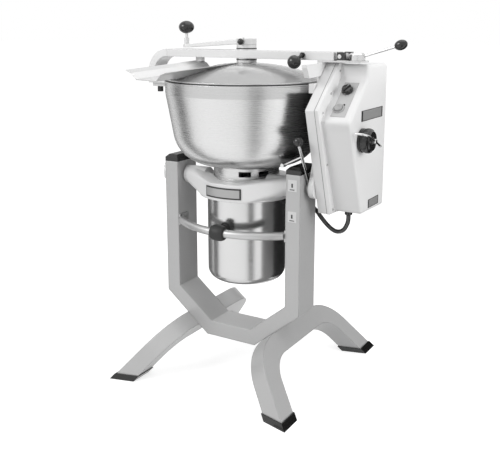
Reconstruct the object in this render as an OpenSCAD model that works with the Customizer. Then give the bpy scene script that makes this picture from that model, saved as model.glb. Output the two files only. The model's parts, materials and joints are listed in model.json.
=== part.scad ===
// Vertical cutter mixer: a tilting bowl with its motor beneath, hung between the posts of a yoke stand.
// Seen from the front, X runs to the right along the tilt axis, Y runs to the rear and Z is up.

/* [Stand] */
// Reach of the bowl's rim past the outer face of each post
rim_overhang = 8; // [4:1:12]
// Depth of the yoke's tube, front to rear
yoke_d = 103; // [96:1:110]
// Thickness of the yoke's tube across its own plane
yoke_t = 48; // [44:1:50]
// Wall of the yoke and foot tubes
tube_wall = 4; // [3:0.5:6]
// Height of the post tops above the floor
post_top = 687; // [680:1:700]
// Height at which the posts bend into the diagonals
bend_z = 249; // [230:1:270]
// Height of the underside of the yoke's flat bottom
yoke_bottom = 122.5; // [110:0.5:135]
// Length of the underside of the yoke's flat bottom
yoke_flat = 180; // [150:1:200]
// Height of the cap on each post
cap_h = 22; // [14:1:26]
// Size of a foot tube across the arch's plane
foot_t = 56; // [46:1:64]
// Size of a foot tube in the arch's plane
foot_w = 66; // [50:1:72]
// Distance of the middle of each pad from the machine's centre plane
foot_x = 266; // [250:1:290]
// Distance from the middle of a front pad to the middle of the rear pad, front to rear
foot_span = 557; // [500:1:620]
// Distance of the middle of the feet behind the tilt axis
foot_y = 61; // [50:1:75]
// Bend radius of a foot arch on its centre line
foot_bend_r = 130; // [100:1:150]
// Angle of a leg's end from the arch's own upright
leg_angle = 23; // [15:1:30]
// Height of a foot pad
pad_h = 17; // [10:1:24]
// Rim of a foot pad around its tube
pad_rim = 3; // [1:0.5:5]

/* [Tilt axis] */
// Height of the tilt axis above the floor
tilt_z = 642; // [636:1:648]
// Diameter of the trunnion shafts
trunnion_d = 25; // [20:1:30]
// Outside diameter of the trunnion bushes
bush_d = 36; // [33:1:38]
// Distance of the bowl axis behind the tilt axis
bowl_y = 51.5; // [46:0.5:56]
// Diameter of the stop bar
stop_bar_d = 25; // [20:1:30]
// Bend radius of the stop bar
stop_bar_r = 280; // [260:1:300]
// Height of the stop bar
stop_bar_z = 496; // [485:1:510]
// Distance of the stop bar's front in front of the tilt axis
stop_bar_front = 118; // [114:1:124]
// Diameter of the rubber sleeve on the stop bar
sleeve_d = 50; // [40:1:54]

/* [Bowl] */
// Outside radius of the bowl at its rim
bowl_r = 253; // [245:1:256]
// Height of the bowl's rim
rim_z = 949; // [940:1:955]
// Height of the underside of the bowl
bowl_bottom = 690; // [688:1:694]
// Height at which the bowl's side turns upright
band_z = 912; // [895:1:925]
// Half angle of the bowl's cone
cone_angle = 10; // [8:0.5:14]
// Radius of the bowl's bottom corner
bowl_corner_r = 110; // [90:1:125]
// Wall of the bowl
bowl_wall = 3; // [2:0.5:5]
// Outside radius of the collar under the bowl
collar_r = 105; // [95:1:115]

/* [Motor] */
// Outside radius of the motor can
can_r = 125.5; // [118:0.5:128]
// Height of the underside of the motor can
can_bottom = 312; // [300:1:340]
// Radius of the motor can's bottom corner
can_corner_r = 34; // [20:1:45]
// Wall of the motor can
can_wall = 2.5; // [2:0.5:4]
// Height of the underside of the cradle casting
cradle_bottom = 590; // [584:1:596]
// Height of the top of the cradle casting
cradle_top = 644; // [640:1:648]
// Outside radius of the cradle casting
cradle_r = 150; // [142:1:156]
// Radius of the rotor
rotor_r = 61; // [50:1:66]
// Gap between rotor and stator
air_gap = 0.6; // [0.4:0.1:1.5]

/* [Knife] */
// Diameter of the knife shaft where it enters the bowl
knife_shaft_d = 30; // [24:1:34]
// Radius of the knives' sweep
knife_r = 136; // [110:1:142]
// Thickness of a knife
knife_t = 5; // [3:0.5:8]
// Number of knife levels
knife_levels = 2; // [1:1:3]

/* [Cover] */
// Height of the middle of the cover bar
bar_z = 1029; // [1025:1:1033]
// Height of the cover bar's section
bar_h = 24; // [20:1:28]
// Depth of the cover bar, front to rear
bar_d = 64; // [56:1:70]
// Reach of the cover bar to the left of the bowl axis
bar_left = 284; // [276:1:292]
// Distance of the cover's hinge pin to the right of the bowl axis
hinge_x = 328; // [325:1:334]
// Diameter of the cover's hinge pin
hinge_pin_d = 12; // [10:1:14]
// Height of the dome's crown above the lid ring
dome_rise = 47; // [40:1:50]
// Thickness of the dome
dome_wall = 4; // [3:0.5:6]
// Radius of the hub on the cover bar
hub_r = 31; // [26:1:31]
// Reach of the crank from the bowl axis
crank_reach = 226; // [200:1:235]
// Diameter of the crank's shaft
crank_shaft_d = 20; // [16:1:24]
// Length of the feed chute
chute_len = 296; // [260:1:300]
// Angle of the feed chute from the front-to-rear direction
chute_turn = 15.3; // [10:0.1:18]
// Rise of the feed chute towards its inner end
chute_rise = 4; // [2:0.5:5]

/* [Control box] */
// Gap between the bowl's rim and the upright that carries the box
upright_gap = 5; // [4:1:10]
// Depth of the box's rear shell
shell_d = 30; // [28:1:45]
// Depth of the box's cover
box_cover_d = 98; // [80:1:100]
// Wall of the box's shells
box_wall = 2.5; // [1.5:0.5:4]
// Thickness of the upright that carries the box
upright_t = 16; // [12:1:16]
// Diameter of the conduit from the box to the motor
conduit_d = 13.4; // [10:0.2:16]

/* [Controls] */
// Diameter of the rotary switch
switch_d = 70; // [56:1:78]
// Diameter of the timer knob
timer_d = 34; // [26:1:38]
// Diameter of the start button
button_d = 24; // [16:1:26]
// Travel of the start button
button_travel = 4; // [2:0.5:5]
// Diameter of the ball on the tilt lock lever
lever_ball_d = 27; // [20:1:30]

/* [Hidden] */
$fn = 64;
eps = 0.01;
running_gap = 0.03;
seat_gap = 0.05;
soft_gap = 0.3;

silver = "#b4b6b8";
steel = "#c9cbcc";
cast_grey = "#a9abad";
white_paint = "#eceded";
black = "#1c1c1d";
clear_grey = "#d8dadb";
copper = "#b87333";

yoke_w = 2 * (bowl_r - rim_overhang);
box_x = bowl_r + upright_gap + upright_t;

// The yoke is a half octagon: its diagonals slope at this angle
diagonal_run = (yoke_w - yoke_flat) / 2;
diagonal_angle = atan((bend_z - yoke_bottom) / diagonal_run);
post_in = yoke_w / 2 - yoke_t;
post_out = yoke_w / 2;

// Foot arches stand square to the diagonals, so they lean outward by the diagonals' own angle
foot_out = foot_x - yoke_flat / 2;
foot_drop = yoke_bottom - pad_h;
foot_along = foot_out * cos(diagonal_angle) - foot_drop * sin(diagonal_angle);
foot_fall = foot_out * sin(diagonal_angle) + foot_drop * cos(diagonal_angle);
leg_bend = 90 - leg_angle;
leg_len = (foot_fall - foot_w / 2 - foot_bend_r * (1 - cos(leg_bend))) / sin(leg_bend);
arch_half_top = foot_span / 2 - foot_bend_r * sin(leg_bend) - leg_len * cos(leg_bend);

// Bowl section: a flat bottom, a round corner, a cone and an upright band
cone_slope = tan(cone_angle);
corner_z = bowl_bottom + bowl_corner_r;
tangent_z = corner_z - bowl_corner_r * sin(cone_angle);
tangent_r = bowl_r - (band_z - tangent_z) * cone_slope;
corner_x = tangent_r - bowl_corner_r * cos(cone_angle);
seal_r = 32;
collar_rim = 3;

// Lid heights, from the bowl's rim upward
gasket_t = 2.7;
ring_t = 4;
ring_z = rim_z + soft_gap + gasket_t;
dome_z = ring_z + ring_t;
ring_out = bowl_r - 3;
ring_in = bowl_r - 17;
lip_clear = 3.5;
lip_h = 10;
lip_r = bowl_r - bowl_wall - lip_clear;
dome_edge_r = ring_in + 6;
dome_crown = dome_z + dome_rise;
dome_ball_r = (dome_edge_r * dome_edge_r + dome_rise * dome_rise) / (2 * dome_rise);
dome_centre_z = dome_crown - dome_ball_r;
bar_bottom = bar_z - bar_h / 2;
bar_top = bar_z + bar_h / 2;
bar_right = hinge_x - 19;
hub_top = bar_top + 17;
hub_bore_r = crank_shaft_d / 2 + running_gap;

// Crank
crank_cap_z = hub_top + 0.5;
crank_cap_h = 17;
crank_end_z = bar_top + 5;
crank_end_h = 9;
crank_stem_top = 1092;
crank_knob_z = 1110;

// Chute section: floor, flared walls and flanges, with its floor's front end at chute_tip
chute_tip = [-168.5, -236, 960];
chute_t = 2;
chute_floor = 48.5;
chute_wall_u = 70;
chute_wall_h = 18;
chute_flange_u = 97;
chute_flange_h = 26;
chute_section = [[-chute_flange_u, chute_flange_h], [-chute_wall_u, chute_wall_h], [-chute_floor, 0],
    [chute_floor, 0], [chute_wall_u, chute_wall_h], [chute_flange_u, chute_flange_h]];

// Black ball of the pin on the crank's cap
pin_ball_x = 3;
pin_ball_r = 9.5;

// Control box
seam_x = box_x + shell_d;
cover_face_x = seam_x + box_cover_d;
box_rear = 216;
box_outline = [[52, 1012], [-91, 884], [9, 566], [box_rear, 562], [box_rear, 1012]];
slope_top = [58, 965];
slope_foot = [-70, 852];
cover_outline = [[slope_top[0], 1006], slope_top, slope_foot, [-58, 828], [39, 571], [box_rear - 4, 568],
    [box_rear - 8, 1006]];
function cover_rear(z) = box_rear - 4 - 4 * (z - 568) / (1006 - 568);
flange_t = 12;
slope_angle = atan((slope_top[1] - slope_foot[1]) / (slope_top[0] - slope_foot[0]));
console_x = 358;
console_w = 44;
console_len = 132;
console_t = 1.5;
timer_along = 121;
timer_shift = -3.5;
button_along = 51.5;
button_shift = -6.5;
lamp_along = 66.5;
lamp_shift = 5.5;
switch_y = 18;
switch_z = 795;
switch_h = 36;
switch_spindle_r = 8;
timer_spindle_r = 4;
plate_t = 1.2;

// Upright
upright_x = box_x - upright_t;
upright_front = 20;
upright_rear = 85;
upright_top = 1012;
bracket_t = bar_bottom - upright_top;

// Tilt lock lever, which turns on the right trunnion shaft between the post and the upright
lever_hub_r = 20.5;
lever_x = (post_out + upright_x) / 2;
lever_hub_t = upright_x - post_out - 2;
lever_rod_r = 4.5;
lever_ball = [lever_x + 3, -88, 793];
lever_root = [lever_x, -10, tilt_z + 16];
link_start = [lever_x, -63, 745];
link_end = [187, -49, 713];
link_r = 3;

// Motor
rotor_low = 400;
rotor_high = 510;
lower_bell_z = 350;
upper_bell_z = cradle_bottom - 14;
lower_bearing_r = 36;
upper_bearing_r = 40;
bearing_h = 18;
shaft_low_r = 17.5;
shaft_mid_r = 22;
shaft_up_r = 20;

// Lock lever of the cover
lock_x = 368;
lock_r = 23.5;
lock_h = 22;
lock_knob = [496, bowl_y, 1063];
lock_rod_r = 4;
lock_root = [lock_x + lock_r - 4, bowl_y, bar_bottom + 13];
lock_run = lock_knob - lock_root;
lock_lean = atan2(lock_run[0], lock_run[2]);

// The conduit's route, from the box's bottom to the side of the motor can
conduit_y = 86;
gland_r = conduit_d / 2 + 2.8;
gland_top = 569.5;
conduit_route = [[340, conduit_y, 554], [340, conduit_y, 540], [338, conduit_y, 527], [333, conduit_y, 515],
    [325, conduit_y, 503], [313, conduit_y, 496], [299, conduit_y, 495], [286, conduit_y, 500],
    [272, conduit_y, 510], [259, conduit_y, 522], [247, conduit_y, 535], [235, conduit_y, 549],
    [222, conduit_y, 560], [207, conduit_y, 567], [190, conduit_y, 570], [170, conduit_y, 570],
    [150, conduit_y, 570], [136, conduit_y, 570]];

// The drawing's origin lies on the floor under the middle of the machine's overall box
knob_reach = lock_knob[0] + 19;
hook_reach = bar_left + 76;
origin_x = (knob_reach - hook_reach) / 2;
origin_y = foot_y;

module placed() translate([-origin_x, -origin_y, 0]) children();
module on_bowl_axis() translate([0, bowl_y, 0]) children();
module along_x() rotate([0, 90, 0]) children();
module along_y() rotate([-90, 0, 0]) children();
module mirrored_x() {
    children();
    mirror([1, 0, 0]) children();
}
// Extrudes an outline drawn in Y and Z along X, from x0
module extrude_x(x0, depth) translate([x0, 0, 0]) rotate([90, 0, 90]) linear_extrude(depth) children();
// Extrudes an outline drawn in X and Z along Y, from y0
module extrude_y(y0, depth) translate([0, y0 + depth, 0]) rotate([90, 0, 0]) linear_extrude(depth) children();

// Unit vector, and a polygon moved inward by d with mitred corners
function unit(v) = v / norm(v);
function edge_normal(p, q) = unit([p[1] - q[1], q[0] - p[0]]);
function inset_corner(p, q, r, d) =
    let (n1 = edge_normal(p, q), n2 = edge_normal(q, r)) q + d * (n1 + n2) / (1 + n1 * n2);
function inset(points, d) = let (n = len(points))
    [for (i = [0:n - 1]) inset_corner(points[(i + n - 1) % n], points[i], points[(i + 1) % n], d)];

// A prism along X whose far face is chamfered by c all round
module chamfered_prism(points, x0, depth, c) {
    n = len(points);
    top = inset(points, c);
    rings = [for (p = points) [x0, p[0], p[1]], for (p = points) [x0 + depth - c, p[0], p[1]],
        for (p = top) [x0 + depth, p[0], p[1]]];
    sides = [for (k = [0:1], i = [0:n - 1]) let (j = (i + 1) % n)
        [k * n + i, (k + 1) * n + i, (k + 1) * n + j, k * n + j]];
    polyhedron(rings, concat([[for (i = [0:n - 1]) i], [for (i = [n - 1:-1:0]) 2 * n + i]], sides));
}

// Path of the yoke at depth k under its outer faces, from the left post's top to the right one's
function yoke_path(k) = let (
    x = yoke_w / 2 - k,
    z = bend_z + k * tan((90 - diagonal_angle) / 2),
    f = yoke_flat / 2 - k * tan(diagonal_angle / 2))
    [[-x, post_top], [-x, z], [-f, yoke_bottom + k], [f, yoke_bottom + k], [x, z], [x, post_top]];

module yoke_band(k1, k2) {
    inner = yoke_path(k2);
    polygon(concat(yoke_path(k1), [for (i = [len(inner) - 1:-1:0]) inner[i]]));
}

module yoke() {
    color(silver) placed() difference() {
        extrude_y(-yoke_d / 2, yoke_d) yoke_band(0, yoke_t);
        extrude_y(-yoke_d / 2 + tube_wall, yoke_d - 2 * tube_wall) yoke_band(tube_wall, yoke_t - tube_wall);
        translate([-post_out - 1, 0, tilt_z]) along_x() cylinder(d = bush_d, h = yoke_w + 2);
    }
}

module post_cap() {
    chamfer = 9;
    plug_w = yoke_t - 2 * tube_wall - 0.4;
    plug_d = yoke_d - 2 * tube_wall - 0.4;
    middle = post_out - yoke_t / 2;
    translate([middle, 0, post_top]) {
        intersection() {
            extrude_y(-yoke_d / 2, yoke_d) polygon([[-yoke_t / 2, 0], [yoke_t / 2, 0],
                [yoke_t / 2, cap_h - chamfer], [yoke_t / 2 - chamfer, cap_h], [-yoke_t / 2 + chamfer, cap_h],
                [-yoke_t / 2, cap_h - chamfer]]);
            extrude_x(-yoke_t / 2, yoke_t) polygon([[-yoke_d / 2, 0], [yoke_d / 2, 0],
                [yoke_d / 2, cap_h - chamfer], [yoke_d / 2 - chamfer, cap_h], [-yoke_d / 2 + chamfer, cap_h],
                [-yoke_d / 2, cap_h - chamfer]]);
        }
        translate([-plug_w / 2, -plug_d / 2, -12]) cube([plug_w, plug_d, 12 + eps]);
    }
}

module post_caps() {
    color(black) placed() mirrored_x() post_cap();
}

// Half of an arch's outline, w wide, with the diagonal's face along the X axis. The straight runs are a
// hair thinner than the bend and reach into it, so that no seam is left between them
module half_arch(w, reach) {
    far = 3 * foot_bend_r;
    hair = 0.02;
    run_w = w - 2 * hair;
    translate([0, -foot_w / 2 - run_w / 2]) square([arch_half_top + 1, run_w]);
    translate([arch_half_top, -foot_w / 2 - foot_bend_r]) {
        intersection() {
            difference() {
                circle(foot_bend_r + w / 2);
                circle(foot_bend_r - w / 2);
            }
            polygon([[0, 0], [0, far], [far, far], [far * sin(leg_bend), far * cos(leg_bend)]]);
        }
        rotate(-leg_bend) translate([-1, foot_bend_r - run_w / 2]) square([leg_len + reach + 1, run_w]);
    }
}

// Right arch's tube of section t by w, put against the diagonal
module arch_bar(t, w) {
    translate([yoke_flat / 2 + foot_along * cos(diagonal_angle), foot_y,
        yoke_bottom + foot_along * sin(diagonal_angle)])
        rotate([0, -diagonal_angle, 0]) rotate([90, 0, 90]) linear_extrude(t, center = true) {
            half_arch(w, foot_w);
            mirror([1, 0]) half_arch(w, foot_w);
        }
}

module foot_arch() {
    difference() {
        arch_bar(foot_t, foot_w);
        arch_bar(foot_t - 2 * tube_wall, foot_w - 2 * tube_wall);
        translate([0, -foot_span, pad_h - 200]) cube([2 * foot_x, 3 * foot_span, 200]);
    }
}

module right_foot_arch() {
    color(silver) placed() foot_arch();
}

module left_foot_arch() {
    color(silver) placed() mirror([1, 0, 0]) foot_arch();
}

module foot_pads() {
    color(black) placed() mirrored_x() intersection() {
        arch_bar(foot_t + 2 * pad_rim, foot_w + 2 * pad_rim);
        translate([0, -foot_span, 0]) cube([2 * foot_x, 3 * foot_span, pad_h]);
    }
}

bush_flange_r = 20;
bush_flange_t = 6;

module trunnion_bush() {
    difference() {
        union() {
            translate([post_in, 0, tilt_z]) along_x() cylinder(r = bush_d / 2 - seat_gap, h = yoke_t);
            translate([post_in - bush_flange_t, 0, tilt_z]) along_x()
                cylinder(r = bush_flange_r, h = bush_flange_t);
        }
        translate([post_in - bush_flange_t - 1, 0, tilt_z]) along_x()
            cylinder(r = trunnion_d / 2 + running_gap, h = yoke_t + bush_flange_t + 2);
    }
}

module trunnion_bushes() {
    color(steel) placed() mirrored_x() trunnion_bush();
}

cap_depth = 32;
cap_r = 25;
cap_bolt_r = 5;

module trunnion_cap() {
    color(cast_grey) placed() translate([-post_out, 0, tilt_z]) rotate([0, -90, 0]) difference() {
        union() {
            cylinder(r = cap_r, h = cap_depth - 6);
            translate([0, 0, cap_depth - 6]) cylinder(r1 = cap_r, r2 = cap_r - 5, h = 6);
        }
        translate([0, 0, -1]) cylinder(r = trunnion_d / 2 + 2, h = cap_depth - 5);
        for (side = [-1, 1]) translate([side * 17.5, 0, -1])
            cylinder(r = cap_bolt_r - 1 + seat_gap, h = cap_depth + 2);
    }
}

module cap_bolts() {
    color(steel) placed() for (side = [-1, 1])
        translate([-post_out, 0, tilt_z + side * 17.5]) rotate([0, -90, 0]) {
            translate([0, 0, 0.2]) cylinder(r = cap_bolt_r - 1, h = cap_depth);
            translate([0, 0, cap_depth]) cylinder(r = 8.5, h = 8, $fn = 6);
        }
}

// Swing of the stop bar's arc to each side, until it meets the posts
bar_swing = asin(post_in / stop_bar_r);

module bar_arc(r_in, r_out, swing) {
    translate([0, stop_bar_r - stop_bar_front, stop_bar_z]) rotate([0, 0, -90 - swing])
        rotate_extrude(angle = 2 * swing) translate([stop_bar_r, 0]) difference() {
            circle(r_out);
            if (r_in > 0) circle(r_in);
        }
}

module stop_bar() {
    plate_y = stop_bar_r - stop_bar_front - sqrt(stop_bar_r * stop_bar_r - post_in * post_in);
    color(steel) placed() {
        intersection() {
            bar_arc(stop_bar_d / 2 - 3, stop_bar_d / 2, bar_swing + 5);
            translate([-post_in + 5, -stop_bar_front - 50, stop_bar_z - 50])
                cube([2 * post_in - 10, stop_bar_front + 80, 100]);
        }
        mirrored_x() translate([post_in - 5, plate_y - 13, stop_bar_z - 18]) cube([5, 46, 36]);
        mirrored_x() for (z = [-12, 12]) translate([post_in - 9, plate_y + 24, stop_bar_z + z]) along_x()
            cylinder(r = 6.5, h = 4 + eps, $fn = 6);
    }
}

sleeve_half = 6.2;

module stop_sleeve() {
    color(black) placed() bar_arc(stop_bar_d / 2 + seat_gap, sleeve_d / 2, sleeve_half);
}

arm_r = 29;
arm_end = post_in - bush_flange_t - 1;
cradle_bore_r = 60;

module cradle() {
    arm_root = sqrt(cradle_r * cradle_r - bowl_y * bowl_y) - 30;
    color(cast_grey) placed() difference() {
        union() {
            on_bowl_axis() translate([0, 0, cradle_bottom]) cylinder(r = cradle_r, h = cradle_top - cradle_bottom);
            mirrored_x() translate([arm_root, 0, tilt_z]) along_x() cylinder(r = arm_r, h = arm_end - arm_root);
            mirrored_x() hull() {
                translate([arm_end - 14, 0, tilt_z]) along_x() cylinder(r = arm_r, h = 8, $fn = 32);
                translate([56, -52, cradle_bottom]) cylinder(r = 33, h = cradle_top - cradle_bottom, $fn = 32);
            }
        }
        on_bowl_axis() translate([0, 0, cradle_bottom - 1]) cylinder(r = cradle_bore_r, h = 100);
        on_bowl_axis() translate([0, 0, cradle_top]) cylinder(r = collar_r + collar_rim + 1, h = 60);
        mirrored_x() translate([arm_root + 20, 0, tilt_z]) along_x() cylinder(d = trunnion_d, h = arm_end);
    }
}

module cradle_plate() {
    color(clear_grey) placed() on_bowl_axis() rotate([0, 0, -90 - 25]) rotate_extrude(angle = 50)
        translate([cradle_r + seat_gap, cradle_bottom + 8]) square([plate_t + 0.6, 36]);
}

module trunnion_shafts() {
    root = sqrt(cradle_r * cradle_r - bowl_y * bowl_y) - 8;
    color(steel) placed() {
        translate([root, 0, tilt_z]) along_x() cylinder(d = trunnion_d, h = box_x - root);
        translate([-root, 0, tilt_z]) rotate([0, -90, 0]) cylinder(d = trunnion_d, h = post_out + 22 - root);
    }
}

// Section of a can with a round bottom corner, at distance k inside its outer faces
module can_section(k) {
    r = can_r - k;
    c = can_corner_r - k;
    low = can_bottom + k;
    polygon([[0, low], [r - c, low], [r, low + c], [r, cradle_bottom], [0, cradle_bottom]]);
    translate([r - c, low + c]) intersection() {
        circle(c);
        translate([0, -c]) square([c, c]);
    }
}

module motor_can() {
    color(steel) placed() on_bowl_axis() rotate_extrude() difference() {
        can_section(0);
        difference() {
            can_section(can_wall);
            translate([0, can_bottom - 1]) square([1, eps]);
        }
    }
}

stator_out = can_r - can_wall - seat_gap;

module motor_stator() {
    color("#6d7073") placed() on_bowl_axis() translate([0, 0, rotor_low]) difference() {
        cylinder(r = stator_out, h = rotor_high - rotor_low);
        translate([0, 0, -1]) cylinder(r = rotor_r + air_gap, h = rotor_high - rotor_low + 2);
    }
}

module stator_windings() {
    color(copper) placed() on_bowl_axis() for (z = [rotor_low - 24, rotor_high]) translate([0, 0, z])
        difference() {
            cylinder(r = stator_out - 16, h = 24);
            translate([0, 0, -1]) cylinder(r = rotor_r + 6, h = 26);
        }
}

module lower_end_bell() {
    color(cast_grey) placed() on_bowl_axis() translate([0, 0, lower_bell_z]) difference() {
        union() {
            cylinder(r = stator_out, h = 8);
            translate([0, 0, -bearing_h]) cylinder(r = lower_bearing_r + 8, h = bearing_h + eps);
        }
        translate([0, 0, -bearing_h - 1]) cylinder(r = lower_bearing_r + seat_gap, h = bearing_h + 1);
        translate([0, 0, -1]) cylinder(r = shaft_mid_r + 2, h = 12);
    }
}

module upper_end_bell() {
    color(cast_grey) placed() on_bowl_axis() translate([0, 0, upper_bell_z]) difference() {
        union() {
            cylinder(r = stator_out, h = cradle_bottom - upper_bell_z);
            translate([0, 0, -8]) cylinder(r = upper_bearing_r + 10, h = 42);
        }
        translate([0, 0, 8]) cylinder(r = upper_bearing_r + seat_gap, h = 40);
        translate([0, 0, -9]) cylinder(r = shaft_mid_r + 2, h = 30);
    }
}

module bearing(r_out, r_in) {
    difference() {
        cylinder(r = r_out, h = bearing_h);
        translate([0, 0, -1]) cylinder(r = r_in + running_gap, h = bearing_h + 2);
    }
}

module motor_bearings() {
    color(steel) placed() on_bowl_axis() {
        translate([0, 0, lower_bell_z - bearing_h]) bearing(lower_bearing_r, shaft_low_r);
        translate([0, 0, upper_bell_z + 8]) bearing(upper_bearing_r, shaft_up_r);
    }
}

module rotor() {
    color("#8a8d90") placed() on_bowl_axis() translate([0, 0, rotor_low]) difference() {
        cylinder(r = rotor_r, h = rotor_high - rotor_low);
        translate([0, 0, -1]) cylinder(r = shaft_mid_r, h = rotor_high - rotor_low + 2);
    }
}

// Knives stand on the hub, one level above the other, clear of the bowl's floor
floor_z = bowl_bottom + bowl_wall;
knife_low = floor_z + 5;
knife_step = 32;
hub_h = knife_step * (knife_levels - 1) + knife_t + 22;
knife_hub_r = 30;
nut_h = 24;
shaft_top = knife_low + hub_h + nut_h - 6;

module knife_shaft() {
    low = lower_bell_z - bearing_h;
    shoulder = upper_bell_z + 8;
    upper_end = shoulder + bearing_h + 14;
    color(steel) placed() on_bowl_axis() {
        translate([0, 0, low]) cylinder(r = shaft_low_r, h = bearing_h);
        translate([0, 0, low + bearing_h]) cylinder(r = shaft_mid_r, h = shoulder - low - bearing_h);
        translate([0, 0, shoulder]) cylinder(r = shaft_up_r, h = upper_end - shoulder);
        translate([0, 0, upper_end]) cylinder(d = knife_shaft_d, h = shaft_top - upper_end);
    }
}

module knife_hub() {
    color(steel) placed() on_bowl_axis() translate([0, 0, knife_low - 2]) difference() {
        cylinder(r = knife_hub_r, h = hub_h + 2);
        translate([0, 0, -1]) cylinder(r = knife_shaft_d / 2 + seat_gap, h = hub_h + 4);
        for (i = [0:knife_levels - 1]) translate([0, 0, 2 + i * knife_step])
            difference() {
                cylinder(r = knife_hub_r + 1, h = knife_t);
                translate([0, 0, -1]) cylinder(r = knife_hub_r - 6, h = knife_t + 2);
            }
    }
}

// A sickle between two arcs, with its root in the hub and its tip on the knives' sweep
module sickle() {
    k = knife_r / 146;
    difference() {
        translate([69 * k, -20 * k]) circle(75 * k);
        translate([69 * k, -48 * k]) circle(78 * k);
    }
}

module knife_blades() {
    color(steel) placed() on_bowl_axis() for (i = [0:knife_levels - 1])
        translate([0, 0, knife_low + i * knife_step]) rotate([0, 0, 20 + 90 * i]) linear_extrude(knife_t)
            difference() {
                union() {
                    for (turn = [0, 180]) rotate(turn) sickle();
                    circle(knife_hub_r);
                }
                circle(knife_hub_r - 6 + seat_gap);
            }
}

module knife_nut() {
    color(steel) placed() on_bowl_axis() translate([0, 0, knife_low + hub_h]) difference() {
        union() {
            cylinder(r = 24, h = nut_h - 10);
            translate([0, 0, nut_h - 10]) cylinder(r1 = 24, r2 = 10, h = 10);
        }
        translate([0, 0, -1]) cylinder(r = knife_shaft_d / 2 + seat_gap, h = nut_h - 5);
    }
}

module bowl_collar() {
    wall = 9;
    height = bowl_bottom - cradle_top;
    color(steel) placed() on_bowl_axis() translate([0, 0, cradle_top]) difference() {
        union() {
            cylinder(r = collar_r + collar_rim, h = 7);
            cylinder(r = collar_r, h = height);
        }
        translate([0, 0, -1]) cylinder(r = collar_r - wall, h = height - 7);
        cylinder(r = seal_r + 8, h = height + 1);
        for (turn = [-62, -28, 28]) rotate([0, 0, turn]) translate([collar_r - wall - 2, -19, 16])
            cube([wall + 6, 38, 16]);
    }
}

// Section of the bowl at distance k inside its outer faces
module bowl_section(k, top) {
    c = bowl_corner_r - k;
    r = bowl_r - k;
    low = bowl_bottom + k;
    bend = band_z + k * tan(cone_angle / 2);
    polygon([[0, low], [corner_x, low], [corner_x + c * cos(cone_angle), corner_z - c * sin(cone_angle)],
        [r, bend], [r, top], [0, top]]);
    translate([corner_x, corner_z]) intersection() {
        circle(c);
        translate([0, -c]) square(c);
    }
}

module bowl() {
    color(steel) placed() on_bowl_axis() rotate_extrude($fn = 96) {
        difference() {
            bowl_section(0, rim_z);
            bowl_section(bowl_wall, rim_z + 1);
            translate([0, bowl_bottom - 1]) square([seal_r, 20]);
        }
        translate([bowl_r - eps, rim_z - 4]) square([2, 4]);
    }
}

module shaft_seal() {
    color(black) placed() on_bowl_axis() translate([0, 0, bowl_bottom - 6]) difference() {
        union() {
            cylinder(r = seal_r - 0.15, h = 12);
            cylinder(r = seal_r + 8 - seat_gap, h = 6);
        }
        translate([0, 0, -1]) cylinder(d = knife_shaft_d + 0.1, h = 20);
    }
}

module can_bumper() {
    front = -stop_bar_front + sleeve_d / 2 + 1;
    color(black) placed() difference() {
        translate([4, front, stop_bar_z + 6]) along_y() {
            cylinder(r = 15, h = 60);
            translate([0, 0, 9]) cylinder(r = 19, h = 40);
        }
        on_bowl_axis() translate([0, 0, can_bottom]) cylinder(r = can_r, h = 300);
    }
}

module upright() {
    lug = [[upright_front, 921], [-34, 926], [-34, 953], [upright_front, 953]];
    wing = [[upright_front, 973], [-62, 971], [-80, 1000], [-80, 1008], [upright_front, 1008]];
    column = concat([[-28, 655], [upright_front, 770]], lug, wing, [[upright_front, upright_top],
        [upright_rear, upright_top], [upright_rear, 760], [29, 628], [0, 612], [-26, 626]]);
    color(white_paint) placed() difference() {
        union() {
            extrude_x(upright_x, upright_t) polygon([for (i = [len(column) - 1:-1:0]) column[i]]);
            translate([upright_x, 0, tilt_z]) along_x() cylinder(r = 30, h = upright_t);
        }
        translate([upright_x - 1, 0, tilt_z]) along_x()
            cylinder(r = trunnion_d / 2 + seat_gap, h = upright_t + 2);
    }
}

cheek_t = 11;
tongue_half = bar_d / 2 - cheek_t - 0.5;

module hinge_bracket() {
    color(black) placed() {
        translate([upright_x, bowl_y - bar_d / 2, upright_top])
            cube([lock_x + lock_r - upright_x, bar_d, bracket_t]);
        for (side = [-1, 1]) difference() {
            translate([hinge_x - 9, bowl_y + side * (bar_d - cheek_t) / 2 - cheek_t / 2, bar_bottom - eps])
                cube([24, cheek_t, bar_h]);
            translate([hinge_x, 0, bar_z]) along_y() cylinder(d = hinge_pin_d, h = 200);
        }
    }
}

module hinge_pin() {
    color(steel) placed() translate([hinge_x, bowl_y - bar_d / 2 - 3, bar_z]) along_y()
        cylinder(r = hinge_pin_d / 2 - seat_gap, h = bar_d + 6);
}

lock_spindle_r = 6;

module lock_lever() {
    color(steel) placed() {
        translate([lock_x, bowl_y, bar_bottom + soft_gap]) {
            cylinder(r = lock_r, h = lock_h - 5);
            translate([0, 0, lock_h - 5]) cylinder(r1 = lock_r, r2 = lock_r - 6, h = 5);
        }
        translate(lock_root) rotate([0, lock_lean, 0]) cylinder(r = lock_rod_r, h = norm(lock_run) - 2);
    }
}

module lock_knob() {
    color(black) placed() translate(lock_knob) rotate([0, lock_lean, 0]) difference() {
        scale([0.75, 0.75, 1]) sphere(19, $fn = 32);
        translate([0, 0, -30]) cylinder(r = lock_rod_r + seat_gap, h = 28 + seat_gap);
    }
}

// Rear shell: a tray with its open side to the cover
module box_rear_shell() {
    outline = [for (i = [len(box_outline) - 1:-1:0]) box_outline[i]];
    color(white_paint) placed() difference() {
        extrude_x(box_x, shell_d) polygon(outline);
        extrude_x(box_x + box_wall, shell_d) polygon(inset(box_outline, box_wall));
    }
}

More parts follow.
